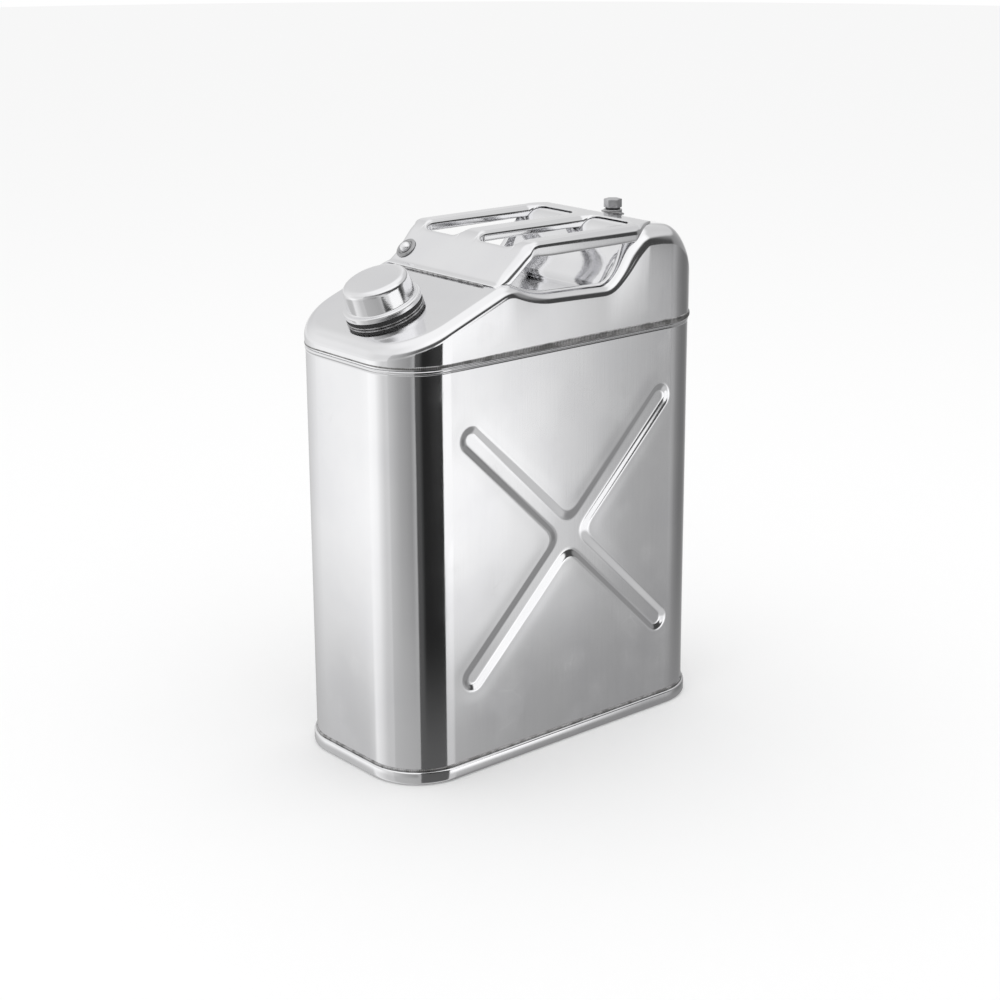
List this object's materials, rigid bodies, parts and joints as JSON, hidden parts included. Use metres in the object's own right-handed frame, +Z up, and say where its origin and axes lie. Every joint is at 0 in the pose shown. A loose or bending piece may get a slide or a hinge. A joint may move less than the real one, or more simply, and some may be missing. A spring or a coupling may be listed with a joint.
{
  "type": "water can",
  "caption": "Upright stainless steel water can with a pressed cross on each broad side, a three-bar handle, a screw cap on a sloping shoulder and a vent screw.",
  "frame": {"origin": "centre of the can's footprint, on the surface it stands on", "axes": "+Z up; +X along the can's length, away from the filler cap; +Y across the can"},
  "size_m": [0.3502, 0.1702, 0.4573],
  "materials": {
    "polished_steel": "polished stainless sheet",
    "weld_steel": "bare weld bead",
    "grey_steel": "satin, darker grey",
    "black_rubber": "matt seal rubber"
  },
  "bodies": {
    "can": {"body_wall": "polished_steel", "base_pan": "polished_steel", "bottom_rim": "polished_steel", "base_weld": "weld_steel", "seam_weld": "weld_steel", "top_shell": "polished_steel", "handle_plate": "polished_steel", "handle_foot_weld": "weld_steel", "keeper_washer": "polished_steel", "keeper_stud": "polished_steel", "filler_neck": "polished_steel", "neck_weld": "weld_steel", "vent_boss": "grey_steel", "vent_weld": "weld_steel"},
    "cap_seal": {"cap_gasket": "black_rubber", "pressure_washer": "polished_steel"},
    "cap": {"cap_shell": "polished_steel", "cap_thread_insert": "grey_steel"},
    "vent_seal": {"vent_washer": "black_rubber"},
    "vent_screw": {"vent_screw": "grey_steel"}
  },
  "joints": [
    {"name": "cap_rise", "type": "slide", "parent": "can", "child": "cap_seal", "axis": [-0.3592, 0, 0.9333], "range_m": [0, 0.01051]},
    {"name": "cap_turn", "type": "hinge", "parent": "cap_seal", "child": "cap", "pos_m": [-0.1263, 0, 0.39228], "axis": [-0.3592, 0, 0.9333], "range_deg": [0, 630]},
    {"name": "vent_rise", "type": "slide", "parent": "can", "child": "vent_seal", "axis": [0, 0, 1], "range_m": [0, 0.00301]},
    {"name": "vent_turn", "type": "hinge", "parent": "vent_seal", "child": "vent_screw", "pos_m": [0.13, 0, 0.4433], "axis": [0, 0, 1], "range_deg": [0, 720]}
  ],
  "couplings": [
    {"joint": "cap_rise", "follows": "cap_turn", "m_per_rad": 0.00095493},
    {"joint": "vent_rise", "follows": "vent_turn", "m_per_rad": 0.00023873}
  ]
}
